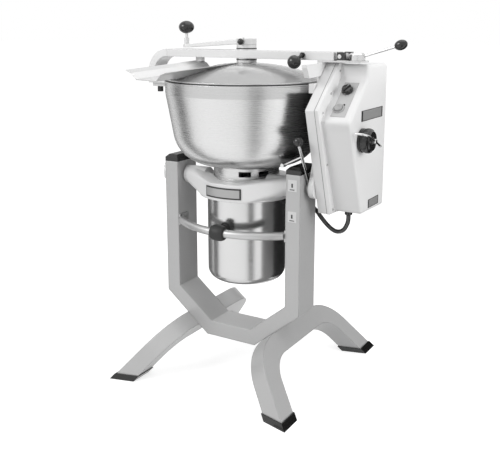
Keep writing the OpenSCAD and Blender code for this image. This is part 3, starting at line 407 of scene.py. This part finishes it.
def shrunk(outline, by):
    """An outline moved in by so many millimetres, with mitred corners."""
    result = []
    for k, point in enumerate(outline):
        p, q, r = (Vector(outline[(k + step) % len(outline)]) for step in (-1, 0, 1))
        before, after = (q - p).normalized(), (r - q).normalized()
        n1, n2 = Vector((-before.y, before.x)), Vector((-after.y, after.x))
        result.append(tuple(q + by * (n1 + n2) / (1 + n1.dot(n2))))
    return result


def edges_at(x):
    """Picks the edges whose both ends lie at x."""
    place = spot(x, 0, 0).x
    return lambda a, b: abs(a.x - place) < NEAR and abs(b.x - place) < NEAR


def edges_at_or_along(x):
    """Picks the edges at x and those that run along X."""
    at = edges_at(x)
    return lambda a, b: abs(a.x - b.x) > NEAR or at(a, b)


def box_cover_shape():
    """The cover's flange, its body and the hollow round foot between them."""
    flange = slab(outline_at(SEAM_X + SEAM_GAP, BOX_OUTLINE), mm(FLANGE_X - SEAM_X - SEAM_GAP, 0, 0),
                  edges_at(FLANGE_X), 4.5, 4)
    sunk = 6
    body = slab(outline_at(FLANGE_X - sunk, COVER_OUTLINE), mm(COVER_X - FLANGE_X + sunk, 0, 0),
                edges_at_or_along(COVER_X), 10, 5)
    bm = bmesh.new()
    foot = [(-1, 6.5), (0.4, 4.5), (1.8, 2.6), (4, 1), (8, 0)]
    rings = []
    for rise, by in foot:
        ring = [bm.verts.new(p) for p in outline_at(FLANGE_X + rise, shrunk(COVER_OUTLINE, by))]
        rings.append([bm.edges.new((a, b)) for a, b in zip(ring, ring[1:] + ring[:1])])
    for low, high in zip(rings, rings[1:]):
        bmesh.ops.bridge_loops(bm, edges=low + high)
    return joined(flange, body, closed(bm))


piece("box_cover_skin", box_cover_shape(), "white_paint", "tilting_bowl", replaces=["box_cover"], crease=50)
piece("box_rear_skin",
      slab(outline_at(BOX_X, BOX_OUTLINE), mm(SEAM_X - BOX_X - SEAM_GAP, 0, 0), edges_at_or_along(BOX_X), 4, 3),
      "white_paint", "tilting_bowl", replaces=["box_rear_shell"], crease=50)
piece("box_gasket", slab(outline_at(SEAM_X - 1, shrunk(BOX_OUTLINE, -SEAM_GAP)), mm(2, 0, 0), None, 0.2, 1),
      "grey_plastic", "tilting_bowl")

# Console slope: it rises from its foot (y, z), and its controls are placed by (x, distance up the slope)
SLOPE_TOP, SLOPE_FOOT = COVER_OUTLINE[1:3]
SLOPE = math.atan2(SLOPE_TOP[1] - SLOPE_FOOT[1], SLOPE_TOP[0] - SLOPE_FOOT[0])
TIMER, BUTTON, LAMP = (354.5, 121), (351.5, 51.5), (363.5, 66.5)
TIMER_TURN = -0.5


def slope_spot(x, along, h=1.5):
    """A point on the console slope, h above it."""
    return spot(x, SLOPE_FOOT[0] + along * math.cos(SLOPE) - h * math.sin(SLOPE),
                SLOPE_FOOT[1] + along * math.sin(SLOPE) + h * math.cos(SLOPE))


def on_slope(bm, where, turn=0.0):
    """Moves a piece made about the origin, with Y up the slope, to where on the slope."""
    matrix = Matrix.Translation(where) @ Matrix.Rotation(SLOPE, 4, "X") @ Matrix.Rotation(turn, 4, "Z")
    bmesh.ops.transform(bm, matrix=matrix, verts=bm.verts)
    return bm


def bar_shape(x, y, z, round_by=0.0):
    """A bar between two corners in millimetres, given as pairs for each axis."""
    corners = [mm(x[0], y[0], z[0]), mm(x[1], y[0], z[0]), mm(x[1], y[1], z[0]), mm(x[0], y[1], z[0])]
    return slab(corners, mm(0, 0, z[1] - z[0]), None, round_by or 0.05, 3 if round_by else 1)


def ball(radius, steps=20):
    """Profile of a ball."""
    angles = [math.pi * k / steps for k in range(steps + 1)]
    return [(radius * math.sin(a), -radius * math.cos(a)) for a in angles]


TIMER_PROFILE = [(0, 0.5), (16.8, 0.5), (17, 1.2), (17, 3.2), (15.4, 4.2), (15, 11), (13.8, 12.8), (0, 13.2)]
RING_PROFILE = [(12.6, 0.05), (17.4, 0.05), (17.4, 1.6), (16.4, 2.8), (13.6, 3), (12.6, 2.4), (12.6, 0.05)]
LENS_PROFILE = [(0, 0.05), (2.6, 0.05), (2.6, 1.4), (1.6, 2.4), (0, 2.6)]
CAP_PROFILE = [(0, -12), (11.8, -12), (11.8, 6), (11.2, 7.4), (9.6, 8), (8.6, 7.4), (0, 6.9)]
ORIGIN = (0, 0, 0)

TIMER_AT = slope_spot(*TIMER)
timer_disc = on_slope(turned(TIMER_PROFILE, ORIGIN, steps=40), TIMER_AT)
timer_bar = on_slope(bar_shape((-3.6, 3.6), (-14.2, 14.2), (12, 16.4), 1.2), TIMER_AT, TIMER_TURN)
piece("timer_dial_knob", joined(timer_disc, timer_bar), "black_plastic", "timer", replaces=["timer_knob"])
piece("timer_pointer", on_slope(bar_shape((-0.6, 0.6), (5, 13.6), (16.3, 16.6)), TIMER_AT, TIMER_TURN),
      "white_paint", "timer")
ticks = [on_slope(bar_shape((-0.35, 0.35), (18.2, 20.4), (0, 0.25)), TIMER_AT, -math.radians(30 * k))
         for k in range(12)]
piece("timer_scale", joined(*ticks), "black_paint", "tilting_bowl")
piece("button_ring", on_slope(turned(RING_PROFILE, ORIGIN), slope_spot(*BUTTON)), "grey_plastic", "tilting_bowl",
      replaces=["pilot_lamp"])
piece("lamp_lens", on_slope(turned(LENS_PROFILE, ORIGIN, steps=20), slope_spot(*LAMP)), "black_plastic",
      "tilting_bowl")
piece("start_cap", on_slope(turned(CAP_PROFILE, ORIGIN), slope_spot(*BUTTON)), "grey_plastic", "start",
      replaces=["start_button"])

# Rotary switch on the cover's face, its bail and the bolt that the bail turns on
SWITCH_Y, SWITCH_Z = 18, 795
SWITCH = spot(COVER_X, SWITCH_Y, SWITCH_Z)
SWITCH_PROFILE = [(8, -13.5), (8, 0.4), (33.5, 0.4), (35, 1.6), (35, 7), (33, 8.4), (33, 12), (35, 13.4),
                  (35, 27), (33.6, 29.5), (30, 31), (28.5, 34), (27.5, 35.8), (12, 36), (11.4, 38.6), (0, 39)]
GRIPS = 18
BAIL = [(411, -48, 823), (424, -48.5, 822.5), (434, -46.5, 821.5), (441, -40, 819), (444, -29, 815),
        (444, -5, 804.5), (444, 20, 794), (444, 45, 782), (444.5, 52, 778.5)]
BAIL_BALL = (444.5, 54, 777.6)
BOLT_PROFILE = [(0, -4), (7.5, -4), (7.5, 3), (6, 4.4), (0, 4.4)]
ALONG_X = (1, 0, 0)

switch_body = turned(SWITCH_PROFILE, SWITCH, ALONG_X, 56)
grips = [bar_shape((-1.6, 1.6), (33.5, 35.6), (15, 26.5), 0.6) for k in range(GRIPS)]
for k, grip in enumerate(grips):
    turn = Matrix.Rotation(math.radians(360 / GRIPS * k), 4, "Z")
    bmesh.ops.transform(grip, matrix=towards(ALONG_X, SWITCH) @ turn, verts=grip.verts)
piece("switch_body", joined(switch_body, *grips), "black_plastic", "main_switch", replaces=["rotary_switch"])
bail_wire = swept([spot(*q) for q in BAIL], 3.2)
bail_ball = turned(ball(4.6), spot(*BAIL_BALL), steps=20)
bail_bolt = turned(BOLT_PROFILE, spot(444, SWITCH_Y, SWITCH_Z), ALONG_X, 24)
piece("switch_bail", joined(bail_wire, bail_ball, bail_bolt), "bright_steel", "main_switch")


def framed_plate(name, corners, push, lift, inset_by, body, replaces=()):
    """A dark plate and the paler field that its frame leaves, both bare."""
    piece(name, slab(corners, push, None, 0.3, 1), "black_paint", body,
          replaces=replaces)
    middle = sum(corners, Vector()) / len(corners)
    inner = [c + (middle - c) * inset_by + lift for c in corners]
    piece(name + "_field", slab(inner, push * 0.6, None, 0.2, 1), "badge_field", body)


def side_corners(y0, y1, z0, z1):
    """A rectangle just off the cover's face."""
    return [spot(COVER_X + 0.05, y, z) for y, z in [(y0, z0), (y1, z0), (y1, z1), (y0, z1)]]


framed_plate("badge_plate", side_corners(13, 175, 848, 879), mm(0.9, 0, 0), mm(0.7, 0, 0), 0.12,
             "tilting_bowl", replaces=["side_plate"])
framed_plate("rating_plate", side_corners(84, 166, 581, 607), mm(0.7, 0, 0), mm(0.5, 0, 0), 0.14,
             "tilting_bowl")

# Labels on the right post's front: a bar and a dash stand for what the photo's labels show
LABEL_Y = -51.6
LABEL_LEFT, LABEL_RIGHT, LABEL_MIDDLE = 204, 233, 218
LABEL_T = 0.5


def front_sheet(x0, x1, z0, z1, y, thick, width):
    """A thin sheet on the post's front, with its edges rounded by width."""
    corners = [spot(x, y, z) for x, z in [(x0, z0), (x1, z0), (x1, z1), (x0, z1)]]
    return slab(corners, mm(0, -thick, 0), None, width, 1)


for name, z0, z1 in [("upper_label", 637, 672), ("lower_label", 543, 576)]:
    piece(name, front_sheet(LABEL_LEFT, LABEL_RIGHT, z0, z1, LABEL_Y, LABEL_T, 0.2), "label_film", "stand")
    for mark, half, low, high in [("_mark", 2.6, z0 + 12, z0 + 24), ("_line", 8, z0 + 4, z0 + 6.5)]:
        piece(name + mark, front_sheet(LABEL_MIDDLE - half, LABEL_MIDDLE + half, low, high, LABEL_Y - LABEL_T,
                                       0.25, 0.1), "black_paint", "stand")


def round_plate(half_angle, low, high, radius, steps=16):
    """A plate that follows the cradle's round front."""
    bm = bmesh.new()
    angles = [math.radians(half_angle * (2 * k / steps - 1)) for k in range(steps + 1)]
    front = [bm.verts.new(spot(radius * math.sin(a), BOWL_Y - radius * math.cos(a), low)) for a in angles]
    edges = [bm.edges.new(pair) for pair in zip(front, front[1:])]
    grown = bmesh.ops.extrude_edge_only(bm, edges=edges)["geom"]
    bmesh.ops.translate(bm, vec=mm(0, 0, high - low), verts=verts_of(grown))
    bmesh.ops.recalc_face_normals(bm, faces=bm.faces)
    bmesh.ops.solidify(bm, geom=bm.faces[:], thickness=0.0009)
    return closed(bm)


piece("cradle_badge", round_plate(24.5, 599, 633, 151.9), "black_paint", "tilting_bowl",
      replaces=["cradle_plate"])
piece("cradle_badge_field", round_plate(22.6, 603.5, 628.5, 152.8), "badge_field", "tilting_bowl")

# Black balls, the stop bar's rubber sleeve, and the rings and the stud on the hub
BARREL_PROFILE = [(12.6, -24), (16, -24), (20.5, -21.5), (23.6, -15), (24.8, -6), (24.8, 6), (23.6, 15),
                  (20.5, 21.5), (16, 24), (12.6, 24)]
HUB_RING_PROFILE = [(30.8, -1.6), (31.6, -1.6), (31.9, 0), (31.6, 1.6), (30.8, 1.6)]
STUD_PROFILE = [(0, -0.4), (3.4, -0.4), (3.4, 3.4), (2.4, 4.4), (0, 4.6)]
piece("pin_ball", turned(ball(9.9), spot(3, 11, 1067), (0, -1, 0), 32), "black_plastic", "crank")
piece("tilt_ball", turned(ball(13.9), spot(254.5, -88, 793), steps=36), "black_plastic", "tilt_lock")
piece("stop_barrel", turned(BARREL_PROFILE, spot(0, -117.6, 496), ALONG_X, 40), "black_rubber", "stand",
      replaces=["stop_sleeve"])
hub_rings = [turned(HUB_RING_PROFILE, spot(0, BOWL_Y, z), steps=56) for z in (1012.5, 1046)]
piece("hub_rings", joined(*hub_rings), "black_rubber", "cover")
piece("cap_stud", turned(STUD_PROFILE, spot(-5, 40, 1075.5), steps=20), "bright_steel", "crank")


def ray_lit(tree, white, level):
    """White to camera, glossy and transmission rays, and level to the rest."""
    path = tree.nodes.new("ShaderNodeLightPath")
    seen = path.outputs["Is Camera Ray"]
    for kind in ("Is Glossy Ray", "Is Transmission Ray"):
        both = tree.nodes.new("ShaderNodeMath")
        both.operation = "MAXIMUM"
        tree.links.new(seen, both.inputs[0])
        tree.links.new(path.outputs[kind], both.inputs[1])
        seen = both.outputs[0]
    mix = tree.nodes.new("ShaderNodeMix")
    tree.links.new(seen, mix.inputs[0])
    mix.inputs[2].default_value, mix.inputs[3].default_value = level, white
    return mix.outputs[0]


# The surroundings look white, and light the machine with less
SKY_SEEN, SKY_LIGHT, FLOOR_SEEN = 1.0, 0.6, 0.68

world = bpy.data.worlds.new("studio")
world.use_nodes = True
scene.world = world
sky = world.node_tree.nodes["Background"]
sky.inputs["Color"].default_value = (1, 1, 1, 1)
world.node_tree.links.new(ray_lit(world.node_tree, SKY_SEEN, SKY_LIGHT), sky.inputs["Strength"])


def area_lamp(name, at, aim, size, power):
    """A square lamp of that size in metres and power in watts."""
    lamp = bpy.data.lights.new(name, "AREA")
    lamp.shape, lamp.size, lamp.size_y, lamp.energy = "RECTANGLE", size, size, power
    obj = bpy.data.objects.new(name, lamp)
    scene.collection.objects.link(obj)
    obj.location = at
    obj.rotation_euler = (Vector(aim) - Vector(at)).to_track_quat("-Z", "Y").to_euler()
    return obj


area_lamp("key_lamp", (-1.8, -2.6, 2.6), (0, 0, 0.7), 1.6, 52)
area_lamp("fill_lamp", (3.0, -0.1, 1.5), (0, 0, 0.6), 1.6, 40).visible_glossy = False
area_lamp("top_lamp", (0.3, 0.2, 3.2), (0, 0, 0.5), 2.2, 16)


def sheet_of(name, *corners):
    """A flat sheet of the studio."""
    bm = bmesh.new()
    bm.faces.new([bm.verts.new(c) for c in corners])
    obj = object_of(name, bm)
    return obj


def matt(name, level, roughness):
    """A grey without gloss."""
    finish = Finish(name)
    finish.shader.inputs["Base Color"].default_value = (level, level, level, 1)
    finish.shader.inputs["Roughness"].default_value = roughness
    finish.shader.inputs["Specular IOR Level"].default_value = 0.0
    return finish


FLOOR_REACH = 40
floor_corners = [(x * FLOOR_REACH, y * FLOOR_REACH, 0) for x, y in ((-1, -1), (1, -1), (1, 1), (-1, 1))]
floor = sheet_of("floor", *floor_corners)
floor_finish = matt("floor", 0.6, 0.9)
floor_glow = floor_finish.shader.inputs["Emission Strength"]
floor_finish.shader.inputs["Emission Color"].default_value = (1, 1, 1, 1)
floor_finish.tree.links.new(ray_lit(floor_finish.tree, FLOOR_SEEN, 0.0), floor_glow)
floor.data.materials.append(floor_finish.material)


def mirrored_only(card, level):
    """Gives a card its grey and leaves it to glossy rays."""
    card.data.materials.append(matt(card.name, level, 1.0).material)
    card.visible_camera = card.visible_diffuse = card.visible_shadow = card.visible_transmission = False


# Each card lies on the floor from this far off the bowl's axis, and turns up at its far edge. Its angles in
# degrees are seen from the axis, to the right of the camera. Cards are (name, start, end, reach, height, level)
CARD_FOOT = 0.42
CARDS = [("right_card", 62, 165, 1.15, 0.92, 0.04), ("middle_card", 4, 20, 1.3, 0.9, 0.28),
         ("left_card", -110, -88, 1.15, 0.92, 0.1), ("far_left_card", -165, -135, 1.15, 0.92, 0.25)]


def card_shape(start, end, reach, height, steps=8):
    angles = [CAMERA_YAW - math.pi / 2 + math.radians(start + (end - start) * k / steps)
              for k in range(steps + 1)]
    bm = bmesh.new()
    rim = [bm.verts.new((BOWL_AXIS[0] + CARD_FOOT * math.cos(a), BOWL_AXIS[1] + CARD_FOOT * math.sin(a), 0.004))
           for a in angles]
    edges = [bm.edges.new(pair) for pair in zip(rim, rim[1:])]
    for scale, lift in ((reach / CARD_FOOT, 0.0), (1.0, height)):
        grown = bmesh.ops.extrude_edge_only(bm, edges=edges)["geom"]
        verts, edges = verts_of(grown), edges_of(grown)
        bmesh.ops.scale(bm, vec=(scale, scale, 1), space=Matrix.Translation((-BOWL_AXIS[0], -BOWL_AXIS[1], 0)),
                        verts=verts)
        bmesh.ops.translate(bm, vec=(0, 0, lift), verts=verts)
    return bm


for name, start, end, reach, height, level in CARDS:
    card = object_of(name, card_shape(start, end, reach, height))
    mirrored_only(card, level)

# This one is a grey sheet seen only in reflections, a painted dark reflection that keeps the box's back out of
# the bowl's right side
FLAG_CORNERS = [(-86, 590), (230, 590), (230, 925), (-86, 925)]
mirrored_only(sheet_of("flag", *outline_at(257, FLAG_CORNERS)), 0.13)

scene.view_settings.view_transform = "Standard"

bpy.context.view_layer.update()
